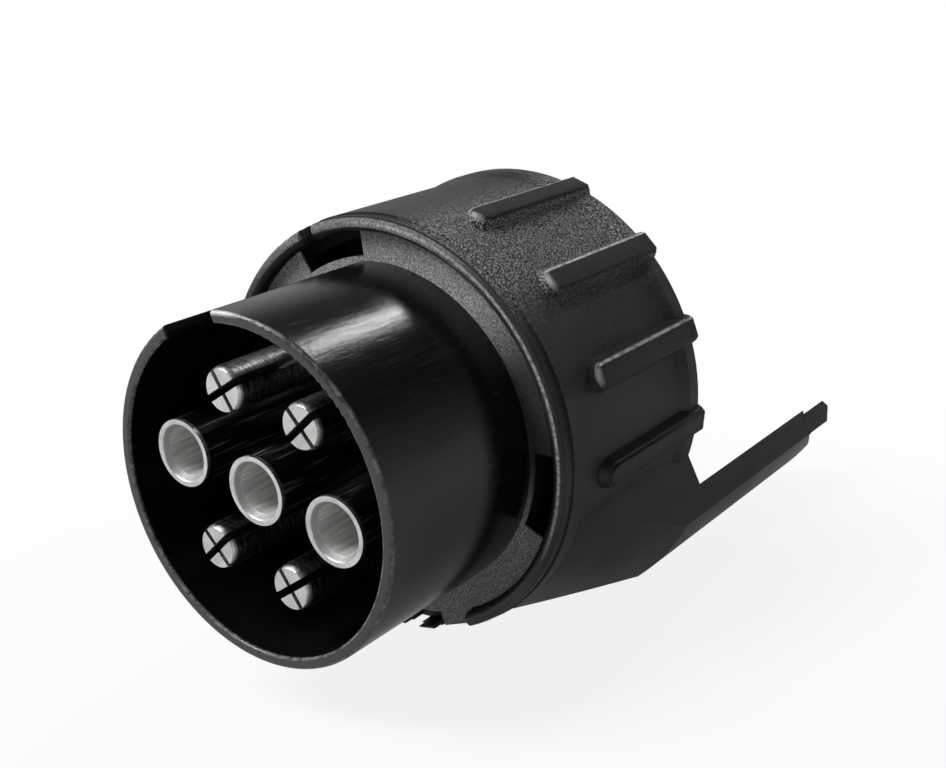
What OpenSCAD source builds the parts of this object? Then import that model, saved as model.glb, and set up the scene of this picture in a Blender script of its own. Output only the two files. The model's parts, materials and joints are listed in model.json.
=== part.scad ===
// Trailer plug adapter: a 7-way plug at the front, a 13-way socket at the back and a side arm.
// Lengths are in millimetres and angles in degrees.
// Modules are drawn along +Z with the plug's mouth at z = 0, and placed() lays that axis along +Y.
// Angles round the axis run clockwise from the keyway, as seen by someone who looks into the plug.

/* [Plug shell] */
// Outer radius of the shell that enters the vehicle's socket
shell_r = 22; // [21:0.1:23]
// Wall of the shell
shell_wall = 1.5; // [1.2:0.1:2]
// Length of the shell, from its mouth to the flange
shell_len = 25.9; // [22:0.1:30]
// Width of the keyway in the shell
keyway_w = 9; // [6:0.1:10]
// Rounding of the shell's mouth
mouth_round = 0.5; // [0.2:0.05:0.6]

/* [Flange and snap hooks] */
// How far the flange stands out past the shell
flange_w = 3.85; // [3.4:0.05:5]
// Thickness of the flange and of the plug's floor
flange_t = 2.4; // [2:0.1:3]
// Turn covered by each window in the flange
window_turn = 25.7; // [20:0.1:30]
// Width of the strip left between a window and the shell
window_strip = 0.6; // [0.4:0.05:1]
// Number of windows, each with a snap hook behind it
window_count = 3; // [2:1:3]
// Where the middle of the flange's locating tab is
tab_at = 178.6; // [176:0.1:182]
// Width of the locating tab
tab_w = 5.5; // [4:0.1:8]
// How far the locating tab stands out past the flange
tab_reach = 1.85; // [1:0.05:1.9]
// Width of each snap hook
hook_w = 7; // [5:0.1:8]
// How far each snap hook catches behind the casing's shoulder
hook_catch = 0.7; // [0.4:0.05:0.9]
// Length of each hook's barb
hook_len = 3.4; // [2.5:0.1:4]

/* [Plug contacts] */
// Distance of the outer contacts from the axis
contact_ring_r = 12.35; // [12:0.05:12.6]
// Radius of the split pins
pin_r = 2.9; // [2.7:0.05:3.1]
// Depth of the pins' faces behind the mouth
pin_recess = 1.6; // [0.5:0.1:4]
// Radius of the flat face on each pin's tip
pin_face_r = 2.6; // [2.2:0.05:2.65]
// Rounding round that face
pin_round = 1.8; // [1:0.1:2]
// Width of the wide slot across each pin
pin_slot_w = 0.95; // [0.6:0.05:1.2]
// Depth of the wide slot
pin_slot_len = 12; // [8:0.5:12.5]
// Width of the narrow slot across each pin
pin_slit_w = 0.65; // [0.3:0.05:0.8]
// Depth of the narrow slot
pin_slit_len = 11; // [6:0.5:12.5]
// Outer radius of the sleeves' mouth rings and of the tubes that insulate them
sleeve_r = 4.3; // [4:0.05:4.6]
// Bore radius of the sleeves
sleeve_bore_r = 3.15; // [2.9:0.05:3.2]
// Wall of the sleeves
sleeve_wall = 0.4; // [0.35:0.05:0.45]
// Thickness of the ring at each sleeve's mouth
sleeve_ring_t = 0.5; // [0.45:0.05:1]
// Depth of the sleeves' mouths behind the shell's mouth
sleeve_recess = 1.4; // [0.5:0.1:4]
// Depth of the sleeves' bore
sleeve_bore_len = 26; // [14:0.5:27]
// Width of the lead-in at a sleeve's mouth
sleeve_lead_w = 0.55; // [0.3:0.05:0.6]
// Depth of that lead-in
sleeve_lead_len = 0.8; // [0.3:0.05:0.8]
// Height of the bosses behind the plug's floor
boss_h = 2; // [1:0.1:3]
// How far a contact's collar stands out past its body
collar_w = 0.9; // [0.5:0.05:1]
// Thickness of the collars
collar_t = 1; // [0.6:0.1:1.4]
// Radius of the plug contacts' tails
tail_r = 1.5; // [1.2:0.05:1.8]
// Length of the plug contacts' tails
tail_len = 2; // [1:0.1:2.5]

/* [Casing] */
// Wall of the casing beside the flange
casing_wall = 2.1; // [1.9:0.05:3]
// Length of the casing, from its front rim to its rear face
casing_len = 32.2; // [32:0.1:40]
// How far the front rim stands ahead of the flange
rim_lead = 1.8; // [1.2:0.05:2.4]
// How much smaller than the body the front rim is
rim_step = 0.2; // [0.1:0.05:0.4]
// Length of the front rim's band
rim_len = 2.2; // [2:0.05:3]
// How much the rear end is flared
flare = 0.5; // [0.2:0.05:1]
// Length of the flared rear end
flare_len = 4.3; // [3:0.1:6]
// Length of the cone that leads to the flare
flare_cone = 1.8; // [1:0.1:2.5]
// Length of the shoulder behind the flange
shoulder_len = 4; // [3:0.1:5]
// Height of the shoulder
shoulder_h = 1.4; // [1.2:0.05:1.8]
// Length of the groove behind the shoulder
groove_len = 4; // [3.8:0.1:5]
// Thickness of the lip at the rear
lip_t = 2.5; // [2:0.1:3]
// Where the narrow slot in the front rim is
rim_slot_at = -4.3; // [-8:0.1:8]
// Width of the narrow slot
rim_slot_w = 2.6; // [1:0.1:4]
// Depth of the narrow slot
rim_slot_len = 3; // [1:0.1:4]
// Play beside the locating tab, on the side of its relief
tab_play = 1; // [0.3:0.05:2]
// Width of the relief inside the rim beside the tab
relief_w = 5; // [2:0.1:8]
// Depth of the relief into the rim
relief_h = 1.1; // [0.5:0.05:1.2]

/* [Grip ribs] */
// Turn from the arm's middle to the first rib on each side
rib_start = 32; // [31:0.1:36]
// Turn from one rib to the next
rib_step = 25.4; // [20:0.1:28]
// Number of ribs on each side of the arm
rib_count = 4; // [2:1:4]
// Height of the ribs
rib_h = 1.45; // [0.8:0.05:2]
// Width of a rib at its foot
rib_foot = 4.9; // [3:0.1:6]
// Width of a rib at its top
rib_top = 3; // [1:0.1:3.5]
// Rounding along a rib's top edges
rib_round = 0.35; // [0.1:0.05:0.4]
// Distance of the ribs' noses from the front rim
rib_lead = 7.5; // [5:0.1:12]

/* [Side arm] */
// Where the middle of the arm is
arm_at = 148; // [140:0.5:156]
// Radius of the arm's outer face
arm_r = 34.45; // [32:0.05:36]
// Thickness of the arm
arm_t = 2.9; // [2:0.1:3.4]
// Length of the arm past the casing's rear face
arm_len = 38.7; // [20:0.1:45]
// Turn from the arm's middle to the wedge's foot on each side
wedge_turn = 21; // [18:0.1:24]
// Turn from the arm's middle to its outer corners
arm_turn = 10.5; // [8:0.1:12]
// Distance of the wedge's foot from the casing's front rim
wedge_lead = 4.9; // [4:0.1:8]
// Rise of the wedge for each millimetre of length
wedge_rise = 0.3; // [0.25:0.01:0.4]
// Depth of the notch in the arm's end
tip_notch = 5; // [2:0.1:8]
// Width of that notch
tip_notch_w = 4.5; // [2:0.1:6]
// How far the tongue beside the notch stands past the arm's end
tongue_len = 3.1; // [1:0.1:5]
// Width of the tongue
tongue_w = 2.4; // [1.5:0.1:3]

/* [Trailer socket] */
// Inner radius of the socket's mouth
mouth_r = 22.4; // [21.5:0.1:22.4]
// Play between the socket and the casing
socket_play = 0.1; // [0.05:0.05:0.15]
// Thickness of the web that carries the contact carrier
web_t = 5; // [2:0.1:5]
// Length of the space for the wires
wire_space = 12; // [11:0.1:14]
// Radius of the contact carrier
carrier_r = 15.8; // [15.2:0.1:16.5]
// Depth of the carrier's face inside the casing's rear face
carrier_recess = 2.7; // [1:0.1:4]
// Chamfer of the carrier's face
carrier_chamfer = 0.6; // [0.2:0.1:1]
// Width of the key on the carrier
key_w = 3; // [2:0.1:4]
// Height of the key on the carrier
key_h = 1.4; // [1:0.1:2]
// Radius of the hole in the carrier's middle
centre_hole_r = 2.4; // [1.5:0.1:2.6]
// Depth of the hole in the carrier's middle
centre_hole_len = 7; // [4:0.1:9]
// Number of bayonet tracks
track_count = 3; // [2:1:4]
// Turn covered by the mouth of each bayonet track
track_turn = 15; // [10:0.5:20]
// Turn that each bayonet track locks through
track_lock = 30; // [20:1:40]
// Depth of the bayonet tracks
track_h = 1; // [0.6:0.05:1.1]
// Width of the bayonet tracks' locking stretch
track_w = 3.4; // [2:0.1:4]

/* [Socket contacts and wires] */
// Number of contacts in the outer ring
outer_count = 8; // [8:1:8]
// Distance of the outer ring from the axis
outer_ring_r = 12.2; // [11.8:0.1:12.6]
// Number of contacts in the inner ring
inner_count = 5; // [3:1:5]
// Distance of the inner ring from the axis
inner_ring_r = 6.2; // [6:0.1:6.6]
// Outer radius of the socket contacts
tube_r = 2.5; // [1.8:0.05:2.5]
// Bore radius of the socket contacts
tube_bore_r = 1.25; // [1:0.05:1.5]
// Depth of the socket contacts' bore
tube_bore_len = 9; // [6:0.1:10]
// Depth of the contacts' mouths inside the carrier's face
tube_recess = 0.8; // [0.3:0.1:2]
// Length of the slits across the contacts' mouths
tube_slit_len = 6; // [3:0.1:8]
// Width of those slits
tube_slit_w = 0.45; // [0.3:0.05:0.6]
// Radius of the wires over their insulation
wire_r = 0.9; // [0.6:0.05:1]
// Thickness of the seal in the socket's groove
seal_t = 1.5; // [1:0.1:2.5]
// Height of the seal's lip
seal_lip = 1; // [0.4:0.1:1.5]

/* [Hidden] */

// Play round the contacts in their bores
bore_play = 0.05;
// Play between the flange and the casing
flange_play = 0.15;
// Play of the snap hooks behind the shoulder
hook_play = 0.1;
// A little more than nothing, so that cuts run past the faces they open
past = 0.2;

// Wall of the bosses round the plug contacts
boss_wall = 1.6;
// How much thicker the pins' roots are, in the plug's floor
pin_root_w = 0.3;
// Width of the slits that free the snap hooks
hook_slit = 1.2;
// Step between the pocket for the flange and the groove behind the shoulder
groove_step = 0.3;
// Step between the socket's mouth and the lip that it seats on
lip_step = 0.2;
// How far ribs and wedge reach into the casing's wall
rib_sink = 0.6;
wedge_sink = 1.5;
// Edge left beside the notch in the arm's end, and the chamfers on the tongue
notch_edge = 0.6;
tongue_point = 0.4;
tongue_slope = 1.1;
// Where the first bayonet track is, and how far the tracks end before the lip
track_start = 60;
track_lead = 3;
// Where the first contact of each ring is
outer_start = 22.5;
inner_start = 36;
// Lead-in, collar and tail of the socket contacts
tube_lead = 0.3;
tube_collar_w = 0.35;
tube_tail_r = 1.3;
tube_tail_len = 1.5;
// Play and lip of the seal
seal_play = 0.3;
seal_lip_foot = 1.8;
seal_lip_top = 0.6;

// Radii from the shell outwards
shell_in_r = shell_r - shell_wall;
flange_r = shell_r + flange_w;
pocket_r = flange_r + flange_play;
casing_r = pocket_r + casing_wall;
rim_r = casing_r - rim_step;
flare_r = casing_r + flare;
shoulder_r = pocket_r - shoulder_h;
groove_r = pocket_r - groove_step;
cup_bore_r = shoulder_r - socket_play;
cup_r = cup_bore_r - socket_play;
sleeve_body_r = sleeve_bore_r + sleeve_wall;
sleeve_lead_r = sleeve_bore_r + sleeve_lead_w;
round_middle_r = pin_r - pin_round;
pin_root_r = pin_r + pin_root_w;
lip_r = mouth_r + lip_step;
tab_r = flange_r + tab_reach;
window_in_r = shell_r + window_strip;
hook_r = shoulder_r + hook_catch;

// Places along the axis, from the mouth backwards
flange_back = shell_len + flange_t;
rim_front = shell_len - rim_lead;
casing_rear = rim_front + casing_len;
shoulder_back = flange_back + shoulder_len;
groove_back = shoulder_back + groove_len;
hook_front = shoulder_back + hook_play;
web_front = flange_back + wire_space;
web_back = web_front + web_t;
lip_front = casing_rear - lip_t;
carrier_face = casing_rear - carrier_recess;
boss_back = flange_back + boss_h;
tail_end = boss_back + collar_t + tail_len;
tube_tail_end = web_front - collar_t - tube_tail_len;
body_front = rim_front + rim_len;
arm_end = casing_rear + arm_len;
pin_body_from = pin_recess + sqrt(pow(pin_round, 2) - pow(pin_face_r - round_middle_r, 2));
wedge_front = rim_front + wedge_lead;
rib_front = rim_front + rib_lead;

// The 7 plug contacts: where each pin and sleeve is, and how each pin's wide slot is turned
pin_places = [0, 60, 180, 240];
pin_turns = [78, 68, 75, 67];
sleeve_places = [[300, contact_ring_r], [0, 0], [120, contact_ring_r]];

// The part lies on the two ribs next to the arm, so their middle points down
rest_turn = arm_at + rib_start + rib_step / 2 - 180;

plastic = [0.09, 0.09, 0.095];
gloss = [0.05, 0.05, 0.055];
metal = [0.8, 0.8, 0.78];
rubber = [0.13, 0.13, 0.13];

$fn = 96;

module placed() {
    rotate([-90, 0, 0]) rotate([0, 0, -rest_turn]) children();
}

// Turns its children to a place round the axis, with +X outwards and +Y clockwise
module at(turn, r = 0) {
    rotate([0, 0, turn - 90]) translate([r, 0, 0]) children();
}

// A ring, or a part of one, with a square section
module ring(r_in, r_out, z_from, z_to, middle = 0, turn = 360) {
    at(middle - turn / 2) rotate_extrude(angle = turn)
        translate([r_in, z_from]) square([r_out - r_in, z_to - z_from]);
}

// A straight bar from the axis outwards, as a cutter or a block
module bar(width, r_in, r_out, z_from, z_to, middle) {
    at(middle) translate([r_in, -width / 2, z_from]) cube([r_out - r_in, width, z_to - z_from]);
}

// Plug side

module shell() {
    inner_round = mouth_round * 0.6;
    rotate_extrude() {
        translate([shell_in_r, mouth_round]) square([shell_wall, flange_back - mouth_round]);
        translate([shell_in_r + inner_round, 0])
            square([shell_wall - mouth_round - inner_round, mouth_round + inner_round]);
        translate([shell_r - mouth_round, mouth_round]) circle(mouth_round);
        translate([shell_in_r + inner_round, inner_round]) circle(inner_round);
        translate([shell_in_r, inner_round]) square([inner_round, mouth_round]);
    }
}

module flange() {
    ring(0, flange_r, shell_len, flange_back);
    bar(tab_w, window_in_r, tab_r, shell_len, flange_back, tab_at);
}

// A barb that stands out of the skirt and catches behind the casing's shoulder
module snap_hook(turn) {
    slope_from = hook_front + hook_len / 3;
    at(turn) translate([0, hook_w / 2, 0]) rotate([90, 0, 0]) linear_extrude(hook_w)
        polygon([[shell_r - shell_wall, hook_front], [hook_r, hook_front], [hook_r, slope_from],
                 [shell_r, hook_front + hook_len], [shell_r - shell_wall, hook_front + hook_len]]);
}

// The skirt that holds the socket insert against the casing's lip
module skirt() {
    difference() {
        ring(shell_in_r, shell_r, flange_back - past, web_front);
        for (k = [0 : window_count - 1], side = [-1, 1])
            at(k * 360 / window_count)
                translate([shell_in_r - 1, side * (hook_w + hook_slit) / 2 - hook_slit / 2,
                           flange_back + hook_slit])
                    cube([shell_wall + 2, hook_slit, wire_space]);
    }
}

module contact_holes() {
    for (p = pin_places)
        at(p, contact_ring_r) translate([0, 0, shell_len - past])
            cylinder(r = pin_root_r + bore_play, h = flange_t + boss_h + 2 * past);
    for (s = sleeve_places)
        at(s[0], s[1]) cylinder(r = sleeve_body_r + bore_play, h = boss_back + past);
}

module bosses() {
    for (p = pin_places)
        at(p, contact_ring_r) translate([0, 0, flange_back - past])
            cylinder(r = pin_root_r + boss_wall, h = boss_h + past);
    for (s = sleeve_places)
        at(s[0], s[1]) translate([0, 0, flange_back - past])
            cylinder(r = sleeve_body_r + boss_wall, h = boss_h + past);
}

// The tubes round the sleeves, which end under the sleeves' mouth rings
module insulating_tubes() {
    front = sleeve_recess + sleeve_ring_t;
    for (s = sleeve_places)
        at(s[0], s[1]) translate([0, 0, front]) cylinder(r = sleeve_r, h = flange_back - front);
}

module plug_insert() {
    placed() color(gloss) {
        difference() {
            union() {
                shell();
                flange();
                bosses();
                skirt();
                insulating_tubes();
            }
            bar(keyway_w, shell_in_r - 1, shell_r + past, -past, shell_len, 0);
            for (k = [0 : window_count - 1])
                ring(window_in_r, flange_r + past, shell_len - past, flange_back + past,
                     k * 360 / window_count, window_turn);
            contact_holes();
        }
        for (k = [0 : window_count - 1]) snap_hook(k * 360 / window_count);
    }
}

module split_pin(i) {
    placed() color(metal) at(pin_places[i], contact_ring_r) difference() {
        rotate_extrude() {
            translate([0, pin_recess]) square([round_middle_r, pin_body_from - pin_recess]);
            intersection() {
                translate([round_middle_r, pin_recess]) square([pin_round, pin_body_from]);
                translate([round_middle_r, pin_body_from]) circle(pin_round);
            }
            translate([0, pin_body_from]) square([pin_r, shell_len - pin_body_from]);
            translate([0, shell_len]) square([pin_root_r, boss_back - shell_len]);
            translate([0, boss_back]) square([pin_r + collar_w, collar_t]);
            translate([0, boss_back + collar_t]) square([tail_r, tail_len]);
        }
        rotate([0, 0, pin_turns[i] - pin_places[i]]) {
            translate([-pin_r - 1, -pin_slot_w / 2, pin_recess - past])
                cube([2 * pin_r + 2, pin_slot_w, pin_slot_len + past]);
            translate([-pin_slit_w / 2, -pin_r - 1, pin_recess - past])
                cube([pin_slit_w, 2 * pin_r + 2, pin_slit_len + past]);
        }
    }
}

module sleeve_contact(i) {
    place = sleeve_places[i];
    placed() color(metal) at(place[0], place[1]) difference() {
        union() {
            translate([0, 0, sleeve_recess]) cylinder(r = sleeve_r, h = sleeve_ring_t);
            translate([0, 0, sleeve_recess]) cylinder(r = sleeve_body_r, h = boss_back - sleeve_recess);
            translate([0, 0, boss_back]) cylinder(r = sleeve_body_r + collar_w, h = collar_t);
            translate([0, 0, boss_back + collar_t]) cylinder(r = tail_r, h = tail_len);
        }
        translate([0, 0, sleeve_recess - past])
            cylinder(r = sleeve_bore_r, h = sleeve_bore_len + past);
        translate([0, 0, sleeve_recess])
            cylinder(r1 = sleeve_lead_r, r2 = sleeve_bore_r, h = sleeve_lead_len);
        translate([0, 0, sleeve_recess - past]) cylinder(r = sleeve_lead_r, h = past);
    }
}

// Casing

module casing_outside() {
    rim_w = rim_r - pocket_r;
    edge = 0.3;
    rotate_extrude() {
        translate([pocket_r, rim_front + rim_w / 2]) square([rim_w, rim_len]);
        translate([pocket_r + rim_w / 2, rim_front + rim_w / 2]) circle(rim_w / 2);
        polygon([[mouth_r - 2, body_front], [casing_r - rim_step / 2, body_front],
                 [casing_r, body_front + rim_step / 2], [casing_r, casing_rear - flare_len],
                 [flare_r, casing_rear - flare_len + flare_cone], [flare_r, casing_rear - edge],
                 [flare_r - edge, casing_rear], [mouth_r - 2, casing_rear]]);
    }
}

module casing_inside() {
    edge = 0.4;
    rotate_extrude() {
        translate([0, rim_front - past]) square([pocket_r, flange_back - rim_front + past]);
        translate([0, flange_back - past]) square([shoulder_r, shoulder_len + 2 * past]);
        translate([0, shoulder_back]) square([groove_r, groove_len]);
        translate([0, groove_back - past]) square([cup_bore_r, lip_front - groove_back + past]);
        translate([0, lip_front - past]) square([lip_r, lip_t + 2 * past]);
        polygon([[0, casing_rear - edge], [lip_r, casing_rear - edge],
                 [lip_r + edge + past, casing_rear + past], [0, casing_rear + past]]);
    }
}

// Half of a rib's section: from the middle out, with a drafted side and a rounded top edge
module half_rib() {
    top = rib_h + rib_sink;
    difference() {
        polygon([[0, 0], [rib_foot / 2, 0], [rib_top / 2, top], [0, top]]);
        translate([rib_top / 2 - rib_round, top - rib_round]) difference() {
            square(4 * rib_round);
            circle(rib_round);
        }
    }
}

module rib(turn) {
    nose_at = rib_front + rib_foot / 2;
    at(turn, casing_r - rib_sink) {
        translate([0, 0, nose_at]) rotate([0, 90, 0]) rotate_extrude() half_rib();
        for (side = [0, 1]) mirror([0, side, 0])
            translate([0, 0, nose_at]) rotate([0, 0, 90]) mirror([0, 1, 0])
                linear_extrude(casing_rear - nose_at) half_rib();
    }
}

module ribs() {
    for (side = [-1, 1], k = [0 : rib_count - 1]) rib(arm_at + side * (rib_start + k * rib_step));
}

// The outline across the wedge and the arm: wide at the casing, narrow at the arm's outer face
foot_x = casing_r * cos(wedge_turn);
foot_y = casing_r * sin(wedge_turn);
corner_x = arm_r * cos(arm_turn);
corner_y = arm_r * sin(arm_turn);
side_slope = (foot_y - corner_y) / (corner_x - foot_x);
function side_y(x) = foot_y - (x - foot_x) * side_slope;

module arm_section() {
    polygon([[foot_x - wedge_sink, -foot_y], [foot_x, -foot_y],
             [arm_r + past, -side_y(arm_r + past)], [arm_r + past, side_y(arm_r + past)],
             [foot_x, foot_y], [foot_x - wedge_sink, foot_y]]);
}

module wedge() {
    at(arm_at) intersection() {
        linear_extrude(casing_rear) arm_section();
        rotate([0, 0, -45]) rotate_extrude(angle = 90)
            polygon([[pocket_r, wedge_front], [casing_r, wedge_front],
                     [arm_r, wedge_front + (arm_r - casing_r) / wedge_rise],
                     [arm_r, casing_rear], [pocket_r, casing_rear]]);
    }
}

module arm() {
    arm_in_r = arm_r - arm_t;
    root = casing_rear - arm_t;
    notch_from = arm_end - tip_notch;
    tongue_x = arm_in_r * cos(arm_turn);
    tongue_y = -side_y(tongue_x);
    tongue_end = arm_end + tongue_len;
    at(arm_at) {
        difference() {
            intersection() {
                linear_extrude(arm_end) arm_section();
                rotate([0, 0, -45]) rotate_extrude(angle = 90)
                    translate([arm_in_r, root]) square([arm_t, arm_end - root]);
            }
            translate([arm_in_r - 2, 0, 0]) rotate([90, 0, 90]) linear_extrude(arm_t + 4)
                polygon([[-foot_y, notch_from], [-corner_y + notch_edge, notch_from],
                         [-corner_y + notch_edge + tip_notch_w, arm_end + past],
                         [-foot_y, arm_end + past]]);
        }
        intersection() {
            translate([0, 0, notch_from - 1]) linear_extrude(tip_notch + tongue_len + 1)
                polygon([[tongue_x, tongue_y], [corner_x, -corner_y], [tongue_x, tongue_y + tongue_w]]);
            translate([0, foot_y, 0]) rotate([90, 0, 0]) linear_extrude(2 * foot_y)
                polygon([[tongue_x - 1, 0], [arm_r, 0], [arm_r, arm_end + tongue_point],
                         [tongue_x + tongue_slope, tongue_end], [tongue_x, tongue_end - tongue_slope],
                         [tongue_x - 1, arm_end]]);
        }
    }
}

module casing() {
    placed() color(plastic) difference() {
        union() {
            casing_outside();
            ribs();
            wedge();
            arm();
        }
        casing_inside();
        bar(rim_slot_w, shell_r, flare_r, rim_front - past, rim_front + rim_slot_len, rim_slot_at);
        tab_gap();
        for (k = [0 : track_count - 1])
            ring(mouth_r - 1, mouth_r + track_h, lip_front - past, casing_rear + past,
                 track_at(k), track_turn);
    }
}

// The gap in the front rim for the flange's tab, and the relief inside the rim beside it
module tab_gap() {
    at(tab_at) {
        translate([shell_r, -tab_w / 2 - flange_play, rim_front - past])
            cube([2 * flange_w + past, tab_w + flange_play + tab_play, flange_back - rim_front + past]);
        translate([shell_r, 0, rim_front - past])
            cube([pocket_r + relief_h - shell_r, tab_w / 2 + tab_play + relief_w,
                  flange_back - rim_front + past]);
    }
}

function track_at(k) = track_start + k * 360 / track_count;

// Socket side

module socket_insert() {
    placed() color(plastic) difference() {
        union() {
            ring(mouth_r, cup_r, web_front, lip_front);
            ring(0, cup_r, web_front, web_back);
            carrier();
        }
        for (k = [0 : track_count - 1]) bayonet_track(k);
        tube_holes();
        translate([0, 0, carrier_face - centre_hole_len])
            cylinder(r = centre_hole_r, h = centre_hole_len + past);
    }
}

module carrier() {
    translate([0, 0, web_back - past])
        cylinder(r = carrier_r, h = carrier_face - carrier_chamfer - web_back + past);
    translate([0, 0, carrier_face - carrier_chamfer])
        cylinder(r1 = carrier_r, r2 = carrier_r - carrier_chamfer, h = carrier_chamfer);
    bar(key_w, carrier_r - 1, carrier_r + key_h, web_back - past, carrier_face - carrier_chamfer, 180);
}

// An entry along the axis and a stretch that turns
module bayonet_track(k) {
    lock_back = lip_front - track_lead;
    ring(mouth_r - 1, mouth_r + track_h, lock_back - track_w, lip_front + past,
         track_at(k), track_turn);
    ring(mouth_r - 1, mouth_r + track_h, lock_back - track_w, lock_back,
         track_at(k) + track_lock / 2, track_turn + track_lock);
}

// Where each of the 13 contacts is: turn and distance from the axis
function tube_turn(i) = i < outer_count ? outer_start + i * 360 / outer_count
    : inner_start + (i - outer_count) * 360 / inner_count;
function tube_ring(i) = i < outer_count ? outer_ring_r : inner_ring_r;

module tube_holes() {
    for (i = [0 : outer_count + inner_count - 1]) at(tube_turn(i), tube_ring(i)) {
        translate([0, 0, web_front - past])
            cylinder(r = tube_r + bore_play, h = carrier_face - web_front + 2 * past);
        translate([0, 0, carrier_face - tube_lead])
            cylinder(r1 = tube_r + bore_play, r2 = tube_r + bore_play + tube_lead, h = tube_lead);
    }
}

// The slits across the contacts' mouths all run the same way
module socket_contact(i) {
    mouth = carrier_face - tube_recess;
    placed() color(metal) at(tube_turn(i), tube_ring(i)) difference() {
        union() {
            translate([0, 0, web_front]) cylinder(r = tube_r, h = mouth - web_front);
            translate([0, 0, web_front - collar_t])
                cylinder(r = tube_r + tube_collar_w, h = collar_t);
            translate([0, 0, tube_tail_end]) cylinder(r = tube_tail_r, h = tube_tail_len);
        }
        translate([0, 0, mouth - tube_bore_len]) cylinder(r = tube_bore_r, h = tube_bore_len + past);
        rotate([0, 0, rest_turn - tube_turn(i)])
            translate([-tube_r - 1, -tube_slit_w / 2, mouth - tube_slit_len])
                cube([2 * tube_r + 2, tube_slit_w, tube_slit_len + past]);
    }
}

// A flat ring with a thin lip that the trailer plug's rim presses on
module socket_seal() {
    seat_in = carrier_r + key_h + seal_play;
    seat_out = mouth_r - seal_play;
    middle = (seat_in + seat_out) / 2;
    lip_top = web_back + seal_t + seal_lip;
    placed() color(rubber) rotate_extrude() {
        translate([seat_in, web_back]) square([seat_out - seat_in, seal_t]);
        polygon([[middle - seal_lip_foot / 2, web_back + seal_t / 2],
                 [middle + seal_lip_foot / 2, web_back + seal_t / 2],
                 [middle + seal_lip_top / 2, lip_top], [middle - seal_lip_top / 2, lip_top]]);
    }
}

// Wires: each runs from a plug contact's tail to a socket contact's tail in an S-bend

function polar(turn, r, z) = [r * sin(turn), -r * cos(turn), z];
function on_curve(p, t) = pow(1 - t, 3) * p[0] + 3 * t * pow(1 - t, 2) * p[1]
    + 3 * t * t * (1 - t) * p[2] + pow(t, 3) * p[3];
function unit(v) = v / norm(v);

module wire(from, to, colour) {
    rings = 14;
    sides = 8;
    bend = 0.62;
    pull = [0, 0, (to[2] - from[2]) * bend];
    curve = [from, from + pull, to - pull, to];
    across = unit(cross([0, 0, 1], to - from));
    middles = [for (i = [0 : rings]) on_curve(curve, i / rings)];
    ways = [for (i = [0 : rings]) i == 0 || i == rings ? [0, 0, 1]
            : unit(middles[i + 1] - middles[i - 1])];
    points = [for (i = [0 : rings], k = [0 : sides - 1])
              middles[i] + wire_r * (cos(k * 360 / sides) * across
              + sin(k * 360 / sides) * cross(ways[i], across))];
    sheath = [for (i = [0 : rings - 1], k = [0 : sides - 1], half = [0, 1])
              let (a = i * sides + k, b = i * sides + (k + 1) % sides)
              half == 0 ? [a, a + sides, b] : [b, a + sides, b + sides]];
    ends = [[for (k = [0 : sides - 1]) k], [for (k = [0 : sides - 1]) rings * sides + sides - 1 - k]];
    placed() color(colour) polyhedron(points, concat(sheath, ends));
}

// Joins plug contact turn and ring to socket contact number i
module jumper(turn, r, i, colour) {
    wire(polar(turn, r, tail_end), polar(tube_turn(i), tube_ring(i), tube_tail_end), colour);
}

casing();
plug_insert();
socket_insert();
socket_seal();
split_pin(0);  // split_pin_1
split_pin(1);  // split_pin_2
split_pin(2);  // split_pin_3
split_pin(3);  // split_pin_4
sleeve_contact(0);  // sleeve_contact_1
sleeve_contact(1);  // sleeve_contact_2
sleeve_contact(2);  // sleeve_contact_3
socket_contact(0);  // socket_contact_1
socket_contact(1);  // socket_contact_2
socket_contact(2);  // socket_contact_3
socket_contact(3);  // socket_contact_4
socket_contact(4);  // socket_contact_5
socket_contact(5);  // socket_contact_6
socket_contact(6);  // socket_contact_7
socket_contact(7);  // socket_contact_8
socket_contact(8);  // socket_contact_9
socket_contact(9);  // socket_contact_10
socket_contact(10);  // socket_contact_11
socket_contact(11);  // socket_contact_12
socket_contact(12);  // socket_contact_13
jumper(0, contact_ring_r, 0, "gold");  // yellow_wire
jumper(60, contact_ring_r, 1, "royalblue");  // blue_wire
jumper(0, 0, 7, "white");  // white_wire
jumper(120, contact_ring_r, 2, "green");  // green_wire
jumper(180, contact_ring_r, 3, "saddlebrown");  // brown_wire
jumper(240, contact_ring_r, 5, "firebrick");  // red_wire
jumper(300, contact_ring_r, 6, "black");  // black_wire
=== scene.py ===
"""A trailer plug adapter in worn black plastic, with plated contacts, in a plain white studio.

Everything is in metres in the row frame: the plug's mouth is at y = 0 and its axis is +Y.
Turns round that axis are in degrees, from +Z towards +X.
"""
import json
import math

import bpy
from mathutils import Matrix, Vector


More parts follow.
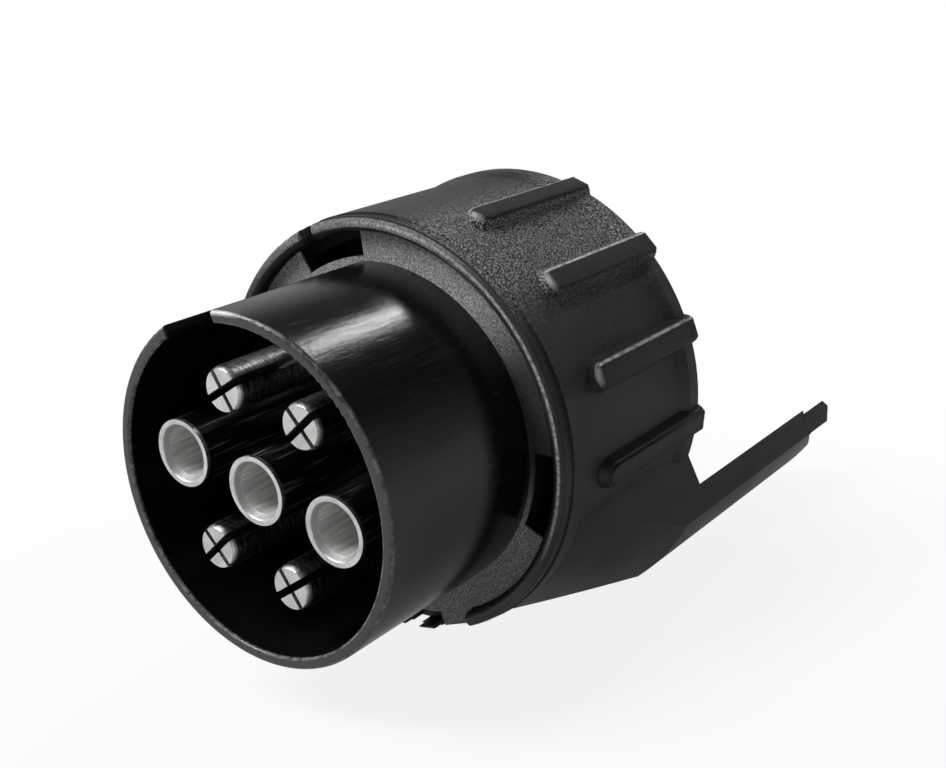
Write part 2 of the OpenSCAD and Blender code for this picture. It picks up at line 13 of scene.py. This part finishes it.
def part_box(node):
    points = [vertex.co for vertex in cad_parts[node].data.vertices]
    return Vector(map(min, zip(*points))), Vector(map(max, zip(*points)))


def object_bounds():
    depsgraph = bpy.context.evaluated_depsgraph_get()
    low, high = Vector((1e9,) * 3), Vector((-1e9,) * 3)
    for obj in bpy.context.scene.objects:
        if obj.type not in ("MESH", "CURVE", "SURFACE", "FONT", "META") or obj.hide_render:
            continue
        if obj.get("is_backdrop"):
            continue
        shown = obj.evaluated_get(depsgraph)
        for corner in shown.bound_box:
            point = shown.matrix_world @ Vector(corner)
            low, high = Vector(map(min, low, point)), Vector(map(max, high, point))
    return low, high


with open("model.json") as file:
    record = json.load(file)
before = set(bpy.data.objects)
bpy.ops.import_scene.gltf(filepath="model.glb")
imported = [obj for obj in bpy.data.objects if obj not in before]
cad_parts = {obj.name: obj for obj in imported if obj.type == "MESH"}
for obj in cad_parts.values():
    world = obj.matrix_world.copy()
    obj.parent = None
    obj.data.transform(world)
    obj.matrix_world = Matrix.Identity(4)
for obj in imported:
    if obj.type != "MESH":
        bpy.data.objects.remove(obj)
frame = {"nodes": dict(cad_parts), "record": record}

MM = 0.001
low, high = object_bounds()
FLOOR_Z = low.z

# Plug insert: the shell's outside and bore, the front of its flange, and the keyway's turn
SHELL_R = 22.0 * MM
SHELL_BORE_R = 20.5 * MM
FLANGE_FRONT = 25.9 * MM
KEYWAY_AT = -12.7

# Casing: its front, the pocket for the flange, and the bead's back and crest
RIM_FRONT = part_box("casing")[0].y
POCKET_R = 26.0 * MM
BEAD_BACK = RIM_FRONT + 0.6 * MM
CREST_R = POCKET_R + 1.2 * MM

# Where the middle of the side arm is
ARM_AT = KEYWAY_AT + 148.0

# Grip ribs: turns from the arm's middle to the first rib and from rib to rib, and their size
RIB_START = 32.0
RIB_STEP = 25.4
RIBS_A_SIDE = 4
RIB_TOP_R = 29.55 * MM
RIB_TOP_W = 3.0 * MM
RIB_NOSE = RIM_FRONT + 7.5 * MM

# Lead-in at a sleeve's mouth
SLEEVE_LEAD_R = 3.7 * MM
SLEEVE_LEAD_LEN = 0.8 * MM

# Rounding of edges that the solids leave sharp
EDGE_ROUND = {"casing": 0.18 * MM, "plug_insert": 0.12 * MM}

# Camera, fitted to the photograph, with its lens in millimetres
EYE = Vector((116.71, -98.53, 48.69)) * MM
RIGHT = Vector((0.7882, 0.6000, -0.1371))
DOWN = Vector((0.0494, -0.2838, -0.9576))
LENS = 51.85

# The place on the part's axis that the lamps point at
LAMP_AIM = Vector((0.0, 30.0, 0.0)) * MM

# Colours that aren't plain greys
HOUSING_BLACK = (0.0015, 0.0015, 0.0016, 1.0)
PLUG_BLACK = (0.0075, 0.0075, 0.0077, 1.0)
SCUFFED_BLACK = (0.03, 0.03, 0.0305, 1.0)
SOCKET_BLACK = (0.008, 0.008, 0.0082, 1.0)
SOCKET_SPECK = (0.022, 0.022, 0.0222, 1.0)
NICKEL = (0.93, 0.925, 0.91, 1.0)
TARNISHED = (0.68, 0.67, 0.65, 1.0)
BORE_DARK = (0.6, 0.597, 0.585, 1.0)
BORE_BRIGHT = (0.97, 0.965, 0.95, 1.0)
LEAD_IN = (0.45, 0.445, 0.44, 1.0)
PIN_BRIGHT = (0.5, 0.5, 0.49, 1.0)


def grey(tone):
    return (tone, tone, tone, 1.0)


# Nodes

class Value:
    """The output of a node: a number, colour, place or surface, with arithmetic for numbers."""

    def __init__(self, shader, socket):
        self.shader = shader
        self.socket = socket

    def __add__(self, other):
        return self.shader.math("ADD", self, other)

    def __sub__(self, other):
        return self.shader.math("SUBTRACT", self, other)

    def __rsub__(self, other):
        return self.shader.math("SUBTRACT", other, self)

    def __mul__(self, other):
        return self.shader.math("MULTIPLY", self, other)

    def __truediv__(self, other):
        return self.shader.math("DIVIDE", self, other)

    def __pow__(self, power):
        return self.shader.math("POWER", self, power)

    def __abs__(self):
        return self.shader.math("ABSOLUTE", self)

    def wrap(self, start, end):
        return self.shader.math("WRAP", self, end, start)

    def span(self, start, end, first, last, kind="SMOOTHSTEP"):
        """Goes from first, at start, to last, at end, and stays level beyond them."""
        node = self.shader.tree.nodes.new("ShaderNodeMapRange")
        node.interpolation_type = kind
        return self.shader.wired(node, {"Value": self, "From Min": start, "From Max": end,
                                        "To Min": first, "To Max": last})

    def above(self, start, end):
        """A mask: 0 up to start, 1 from end on."""
        return self.span(start, end, 0.0, 1.0)

    def below(self, start, end):
        """A mask: 1 up to start, 0 from end on."""
        return self.span(start, end, 1.0, 0.0)

    def turned_from(self, middle):
        """How far one turn is from another, from 0 to 180 degrees."""
        return abs((self - middle).wrap(-180.0, 180.0))

    def near(self, middle, half, soft):
        """A mask: 1 within half degrees of a turn, fading out over soft degrees more."""
        return self.turned_from(middle).below(half, half + soft)


class Shader:
    """The node tree of a material or of the world, and short ways to add nodes to it."""

    def __init__(self, owner, output, coordinates):
        self.owner = owner
        owner.use_nodes = True
        self.tree = owner.node_tree
        self.tree.nodes.clear()
        self.output = self.tree.nodes.new(output)
        self.place = self.node("ShaderNodeTexCoord", {}, coordinates)
        split = self.tree.nodes.new("ShaderNodeSeparateXYZ")
        self.wired(split, {"Vector": self.place})
        self.x, self.y, self.z = (Value(self, socket) for socket in split.outputs)

    def wired(self, node, inputs, output=0):
        """Gives a node its inputs, which are constants or Values, and returns one output."""
        for key, value in inputs.items():
            if isinstance(value, Value):
                self.tree.links.new(value.socket, node.inputs[key])
            else:
                node.inputs[key].default_value = value
        return Value(self, node.outputs[output])

    def node(self, kind, inputs, output=0):
        return self.wired(self.tree.nodes.new(kind), inputs, output)

    def math(self, operation, *terms):
        node = self.tree.nodes.new("ShaderNodeMath")
        node.operation = operation
        return self.wired(node, dict(enumerate(terms)))

    def mix(self, share, first, second):
        """The first colour where share is 0, and the second where it is 1."""
        factor, colour_a, colour_b, result = 0, 6, 7, 2
        node = self.tree.nodes.new("ShaderNodeMix")
        node.data_type = "RGBA"
        return self.wired(node, {factor: share, colour_a: first, colour_b: second}, result)

    def coats(self, base, *layers):
        """Lays colours over a base colour, each through its own mask, the last on top."""
        for mask, colour in layers:
            base = self.mix(mask, base, colour)
        return base

    def stretched(self, x, y, z):
        """The place times a factor for each axis, for a texture with long features."""
        return self.node("ShaderNodeMapping", {"Vector": self.place, "Scale": (x, y, z)})

    def flat(self, x, y):
        return self.node("ShaderNodeCombineXYZ", {"X": x, "Y": y})

    def noise(self, scale, detail=4.0, rough=0.5, where=None):
        inputs = {"Vector": where or self.place, "Scale": scale,
                  "Detail": detail, "Roughness": rough}
        return self.node("ShaderNodeTexNoise", inputs, "Fac")

    def polar(self, across, up):
        """The turn from up towards across, in degrees, and the distance from their origin."""
        turn = self.math("ARCTAN2", across, up) * (180.0 / math.pi)
        return turn, self.math("SQRT", across * across + up * up)

    def finish(self, surface):
        """Ends the tree with this surface, and returns what the tree belongs to."""
        self.tree.links.new(surface.socket, self.output.inputs["Surface"])
        return self.owner

    def surface(self, base, roughness, height, depth, metallic=0.0):
        """Finishes a material, with a relief of height times depth, where depth is in metres."""
        relief = self.node("ShaderNodeBump",
                           {"Height": height, "Distance": depth, "Strength": 1.0})
        inputs = {"Base Color": base, "Metallic": metallic,
                  "Roughness": roughness, "Normal": relief}
        return self.finish(self.node("ShaderNodeBsdfPrincipled", inputs))


def material(name):
    return Shader(bpy.data.materials.new(name), "ShaderNodeOutputMaterial", "Object")


# Materials

def rib_masks(s, turn, away):
    """The ribs' tops, light marks on their edges and noses, and a height that rounds the tops.
    The marks are rubbing and a painted glint, shown on the lit side only.
    """
    off_arm = turn.turned_from(ARM_AT)
    off_rib = (off_arm - RIB_START).wrap(-RIB_STEP / 2, RIB_STEP / 2)
    across = s.math("RADIANS", off_rib) * away
    half_fan = (RIBS_A_SIDE - 1) * RIB_STEP / 2
    half_top = RIB_TOP_W / 2
    on_rib = abs(off_arm - (RIB_START + half_fan)).below(half_fan + 3.5, half_fan + 4.5)
    on_rib = on_rib * abs(across).below(half_top + 0.2 * MM, half_top + 0.3 * MM)
    top = on_rib * away.above(RIB_TOP_R - 0.4 * MM, RIB_TOP_R - 0.15 * MM)
    crown = (across / half_top) ** 2.0 * top

    edge = abs(across - (half_top - 0.1 * MM)).below(0.1 * MM, 0.3 * MM)
    nose = s.y.below(RIB_NOSE + 0.7 * MM, RIB_NOSE + 1.8 * MM)
    # Light marks on the ribs' upper edges and noses, on the lit side only: rubbing and a painted
    # glint.
    broken = s.noise(900.0, detail=4.0, rough=0.7).span(0.32, 0.55, 0.25, 1.0)
    broken = broken * turn.near(50.0, half=40.0, soft=10.0)
    near_top = on_rib * away.above(RIB_TOP_R - 0.7 * MM, RIB_TOP_R - 0.25 * MM)
    wear_and_painted_glint = s.math("MAXIMUM", edge, nose) * broken * near_top
    return top, wear_and_painted_glint, crown


def bead_colour(s, turn, away):
    """The face of the casing's bead: painted shade, black, at its inner edge, and painted
    highlights, patchy, at the top, at the bottom and on the crest at the lit side.
    """
    # Noise that breaks up the painted highlights.
    highlight_breakup = s.noise(2600.0, detail=3.0, rough=0.7).span(0.35, 0.62, 0.3, 1.0)
    crest = abs(away - CREST_R).below(0.1 * MM, 0.26 * MM)
    # Painted highlights: lighter at the bottom, at the top and along the crest on the lit side.
    face = s.coats(
        grey(0.02),
        (turn.near(155.0, half=15.0, soft=20.0), grey(0.14)),
        (highlight_breakup * turn.near(0.0, half=22.0, soft=32.0), grey(0.42)),
        (crest * highlight_breakup * turn.near(62.0, half=46.0, soft=22.0), grey(0.7)))
    # Painted shade: black at the bead's inner edge, next to the flange.
    return s.mix(away.above(POCKET_R + 0.58 * MM, POCKET_R + 0.7 * MM), grey(0.0), face)


def housing_plastic():
    """Black plastic with a spark-eroded grain that fades towards the arm, and painted light and
    shade.
    """
    s = material("housing_plastic")
    turn, away = s.polar(s.x, s.z)
    rib_top, wear_and_painted_glint, crown = rib_masks(s, turn, away)
    grain = s.noise(4000.0, detail=3.0, rough=0.8)
    grained = 1.0 - turn.near(ARM_AT + 15.0, half=40.0, soft=45.0)
    specks = grain.above(0.5, 0.57) * grained.span(0.0, 1.0, 0.1, 1.0)
    # The grain's specks are light grey only around turn 36, the lit side: a painted glint.
    grain_tone_and_painted_glints = s.mix(turn.near(36.0, half=9.0, soft=19.0), grey(0.04), grey(0.72))
    bead_face = s.y.below(BEAD_BACK - 0.1 * MM, BEAD_BACK)
    # Painted shade: a black line in the crease at the back of the bead.
    shade_behind_bead = abs(s.y - BEAD_BACK).below(0.1 * MM, 0.2 * MM)
    shade_behind_bead = shade_behind_bead * away.above(CREST_R, CREST_R + 0.1 * MM)
    # Painted shade: the casing's interior, seen through its windows and past the flange, is near
    # black and rough.
    shaded_inside = away.below(POCKET_R + 0.1 * MM, POCKET_R + 0.25 * MM)
    shaded_inside = shaded_inside * s.y.above(BEAD_BACK - 0.1 * MM, BEAD_BACK + 0.2 * MM)
    base = s.coats(
        HOUSING_BLACK,
        (specks, grain_tone_and_painted_glints),
        (rib_top, grey(0.002)),
        (bead_face, bead_colour(s, turn, away)),
        # Painted shade in the crease at the back of the bead.
        (shade_behind_bead, grey(0.0)),
        # Painted glint and rubbing on the ribs' edges and noses.
        (wear_and_painted_glint, grey(0.9)),
        # Painted shade in the casing's interior.
        (shaded_inside, grey(0.002)))
    patches = s.noise(90.0, detail=3.0).span(0.3, 0.7, 0.32, 0.42)
    roughness = patches + shaded_inside * 0.5 + rib_top * 0.12
    height = grain * grained.span(0.0, 1.0, 0.15, 1.0) - crown
    return s.surface(base, roughness, height, 0.4 * MM)


def flange_colour(s, turn, grain):
    """The plug insert's flange: grain with painted light, palest at the top and at the bottom and
    dark between.
    """
    # Painted light: the flange is lighter at the top and bottom, where it is lit, and dark at the
    # sides, where the shell shades it.
    painted_light_tone = s.coats(
        grey(0.05),
        (turn.near(150.0, half=25.0, soft=30.0), grey(1.0)),
        (turn.near(6.0, half=35.0, soft=32.0), grey(0.8)))
    hollows = s.mix(0.75, painted_light_tone, grey(0.004))
    return s.mix(grain.above(0.38, 0.66), hollows, painted_light_tone)


def plug_plastic():
    """Smooth black plastic, scratched along the shell, with the grained flange at its back; light
    and shade are painted in places.
    """
    s = material("plug_plastic")
    turn, away = s.polar(s.x, s.z)
    flange = s.y.above(FLANGE_FRONT - 0.1 * MM, FLANGE_FRONT - 0.02 * MM)
    # Painted shade: the part of the insert past the flange's front, seen through the casing's
    # windows, is near black and rough.
    shaded_behind_flange = s.y.above(FLANGE_FRONT + 0.1 * MM, FLANGE_FRONT + 0.4 * MM)
    bore = away.below(SHELL_BORE_R + 0.3 * MM, SHELL_BORE_R + 0.6 * MM)
    tubes = away.below(SHELL_BORE_R - 0.7 * MM, SHELL_BORE_R - 0.2 * MM)
    tubes = tubes * s.y.above(1.5 * MM, 2.0 * MM)
    grain = s.noise(6500.0, detail=2.0, rough=0.6)
    streaks = s.noise(420.0, detail=5.0, rough=0.7, where=s.stretched(5.0, 0.35, 5.0))
    scuffs = streaks.above(0.5, 0.78)
    lines = s.noise(500.0, detail=4.0, rough=0.6, where=s.stretched(4.0, 0.16, 4.0))

    mouth = s.y.below(0.2 * MM, 0.55 * MM)
    outer_edge = away.above(SHELL_R - 0.45 * MM, SHELL_R - 0.2 * MM)
    inner_edge = away.below(SHELL_BORE_R + 0.15 * MM, SHELL_BORE_R + 0.35 * MM)
    chips = s.noise(700.0, detail=5.0, rough=0.75).above(0.4, 0.66)
    rubbed = s.mix(s.math("MAXIMUM", outer_edge, inner_edge) * chips, grey(0.06), grey(0.3))
    nick = mouth * away.above(SHELL_R - 0.7 * MM, SHELL_R - 0.2 * MM)
    nick = turn.near(KEYWAY_AT + 14.0, half=2.5, soft=9.0) * nick

    base = s.coats(
        PLUG_BLACK,
        (scuffs, SCUFFED_BLACK),
        # Painted shade: the shell's interior is darker, and has no scuffs.
        (bore, grey(0.005)),
        # Light streaks along the tubes: scratches and painted streak highlights.
        (tubes * lines.above(0.55, 0.72), grey(0.17)),
        # The flange, with painted light.
        (flange, flange_colour(s, turn, grain)),
        # Painted shade at the back of the insert.
        (shaded_behind_flange, grey(0.0015)),
        (mouth, rubbed),
        (nick, grey(0.85)))
    smooth = scuffs * 0.12 + s.noise(60.0, detail=3.0).span(0.3, 0.7, 0.16, 0.2)
    roughness = smooth * (1.0 - flange) + (flange * 0.45 + shaded_behind_flange * 0.45)
    height = streaks * 0.1 + grain * flange
    return s.surface(base, roughness, height, 0.25 * MM)


def socket_plastic():
    s = material("socket_plastic")
    grain = s.noise(2200.0, detail=2.0, rough=0.6)
    base = s.mix(grain.above(0.35, 0.75), SOCKET_BLACK, SOCKET_SPECK)
    roughness = s.noise(120.0).span(0.3, 0.7, 0.4, 0.52)
    return s.surface(base, roughness, grain, 0.06 * MM)


def plated_metal(node):
    """Plated brass: bright faces, turned rings and streaks along a contact's length, and a
    painted dark reflection on the split pins' sides.
    """
    s = material(node + "_metal")
    start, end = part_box(node)
    turn, away = s.polar(s.x - (start.x + end.x) / 2, s.z - (start.z + end.z) / 2)
    rings = s.noise(1.0, detail=3.0, rough=0.7, where=s.flat(away * 9000.0, s.y * 5000.0))
    streaks = s.noise(1.0, detail=4.0, rough=0.6, where=s.flat(turn * 0.12, s.y * 120.0))
    tarnish = s.noise(420.0, detail=5.0, rough=0.65)
    base = s.mix(tarnish.above(0.35, 0.75), NICKEL, TARNISHED)
    roughness = streaks.span(0.3, 0.8, 0.0, 0.2) + tarnish.span(0.3, 0.7, 0.2, 0.34)
    metallic = 1.0
    if node.startswith("sleeve"):
        lead_end = start.y + SLEEVE_LEAD_LEN
        bore = away.below(SLEEVE_LEAD_R - 0.05 * MM, SLEEVE_LEAD_R + 0.05 * MM)
        bore = bore * s.y.above(start.y + 0.05 * MM, start.y + 0.2 * MM)
        lead_in = bore * s.y.below(lead_end - 0.1 * MM, lead_end + 0.05 * MM)
        base = s.coats(
            base,
            (bore, s.mix(streaks.above(0.3, 0.7), BORE_DARK, BORE_BRIGHT)),
            (lead_in, LEAD_IN))
        roughness = roughness + bore * 0.25
        metallic = 1.0 - bore * 0.5
    if node.startswith("split"):
        # Painted reflection: a split pin's side is painted dark, for the dark shell it reflects,
        # with light turned rings.
        side = s.y.above(start.y + 0.2 * MM, start.y + 0.8 * MM)
        turned = s.noise(1.0, detail=3.0, rough=0.8, where=s.flat(turn * 0.02, s.y * 2400.0))
        base = s.mix(side, base, s.mix(turned.above(0.35, 0.65), grey(0.06), PIN_BRIGHT))
    return s.surface(base, roughness, rings + streaks * 0.6, 0.05 * MM, metallic)


def seal_rubber():
    s = material("seal_rubber")
    speck = s.noise(1400.0, detail=3.0)
    return s.surface(s.mix(speck, grey(0.012), grey(0.03)), 0.7, speck, 0.04 * MM)


def sheath(slot):
    """A wire's sheath in its colour from the record, with darker patches."""
    colours = {m["slot"]: tuple(m["base_color"][:3]) for m in frame["record"]["materials"]}
    dark = tuple(channel * 0.75 for channel in colours[slot])
    s = material(slot)
    speck = s.noise(900.0, detail=3.0)
    base = s.mix(speck, dark + (1.0,), colours[slot] + (1.0,))
    return s.surface(base, 0.4, speck, 0.03 * MM)


def dress(node, look):
    mesh = frame["nodes"][node].data
    mesh.materials.clear()
    mesh.materials.append(look)


def soften_edges(node, width):
    bevel = frame["nodes"][node].modifiers.new("edge_wear", "BEVEL")
    bevel.width = width
    bevel.segments = 2
    bevel.limit_method = "ANGLE"
    bevel.angle_limit = math.radians(40)
    bevel.harden_normals = True


dress("casing", housing_plastic())
dress("plug_insert", plug_plastic())
dress("socket_insert", socket_plastic())
dress("socket_seal", seal_rubber())
for node in frame["nodes"]:
    if node.startswith(("split_pin", "sleeve_contact", "socket_contact")):
        dress(node, plated_metal(node))
    if node.endswith("_wire"):
        dress(node, sheath(node.replace("_wire", "_sheath")))
for node, width in EDGE_ROUND.items():
    soften_edges(node, width)


# Studio

def floor():
    """A floor that is white to the camera, apart from the part's faint shadow."""
    bpy.ops.mesh.primitive_plane_add(size=6.0, location=(0, 0, FLOOR_Z))
    plane = bpy.context.object
    plane.name = "studio_floor"
    s = material("studio_floor")
    to_camera = s.node("ShaderNodeLightPath", {}, "Is Camera Ray")
    to_gloss = s.node("ShaderNodeLightPath", {}, "Is Glossy Ray")
    turn, away = s.polar(s.x, s.y)
    tone = s.mix(s.noise(3.0, detail=2.0), grey(0.86), grey(0.9))
    lit = s.node("ShaderNodeBsdfDiffuse", {"Color": s.mix(to_camera, grey(0.3), tone)})
    white = s.node("ShaderNodeEmission", {"Color": grey(1.0), "Strength": 1.0})
    back_right = turn.above(5.0, 20.0) * turn.below(45.0, 65.0)
    camera_share = away.span(0.05, 0.16, 0.86, 1.0)
    gloss_share = away.span(0.04, 0.13, 0.42, 0.6) * (1.0 - back_right * 0.5)
    share = to_camera * camera_share + to_gloss * gloss_share
    s.finish(s.node("ShaderNodeMixShader", {0: share, 1: lit, 2: white}))
    plane.data.materials.append(s.owner)
    plane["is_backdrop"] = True


def surroundings():
    """White to the camera; else bright near the horizon, dim above and at the back right."""
    world = bpy.data.worlds.new("studio")
    bpy.context.scene.world = world
    s = Shader(world, "ShaderNodeOutputWorld", "Generated")
    to_camera = s.node("ShaderNodeLightPath", {}, "Is Camera Ray")
    back_right = s.x.above(0.1, 0.35) * s.y.above(0.6, 0.78)
    glow = s.z.span(0.05, 0.5, 0.45, 0.08) * back_right.span(0.0, 1.0, 1.0, 0.35, "LINEAR")
    strength = to_camera.span(0.0, 1.0, glow, 1.0, "LINEAR")
    s.finish(s.node("ShaderNodeBackground", {"Color": grey(1.0), "Strength": strength}))


def softbox(name, azimuth, elevation, distance, width, height, watts):
    """A lamp that shines at the part. Its azimuth is in degrees, from +Y towards +X."""
    around, up = math.radians(azimuth), math.radians(elevation)
    way = Vector((math.sin(around) * math.cos(up), math.cos(around) * math.cos(up), math.sin(up)))
    data = bpy.data.lights.new(name, "AREA")
    data.shape = "RECTANGLE"
    data.size, data.size_y = width, height
    data.energy = watts
    lamp = bpy.data.objects.new(name, data)
    bpy.context.scene.collection.objects.link(lamp)
    lamp.location = LAMP_AIM + way * distance
    lamp.visible_camera = False
    lamp.rotation_mode = "QUATERNION"
    lamp.rotation_quaternion = (-way).to_track_quat("-Z", "Y")


def camera():
    data = bpy.data.cameras.new("camera")
    data.lens = LENS
    data.sensor_width = 36.0
    data.clip_start, data.clip_end = 0.01, 20.0
    eye = bpy.data.objects.new("camera", data)
    bpy.context.scene.collection.objects.link(eye)
    back = RIGHT.cross(-DOWN).normalized()
    up = back.cross(RIGHT).normalized()
    turned = Matrix((RIGHT, up, back)).transposed().to_4x4()
    eye.matrix_world = Matrix.Translation(EYE) @ turned
    bpy.context.scene.camera = eye


floor()
surroundings()
softbox("top_back", azimuth=-0.5, elevation=43.5, distance=0.8,
        width=0.03, height=0.21, watts=0.85)
softbox("back_left", azimuth=-32.0, elevation=24.0, distance=1.0,
        width=0.6, height=0.35, watts=0.2)
softbox("front_left", azimuth=225.0, elevation=52.0, distance=1.0,
        width=0.5, height=0.5, watts=9.0)
camera()
bpy.context.scene.view_settings.view_transform = "Standard"

low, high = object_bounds()
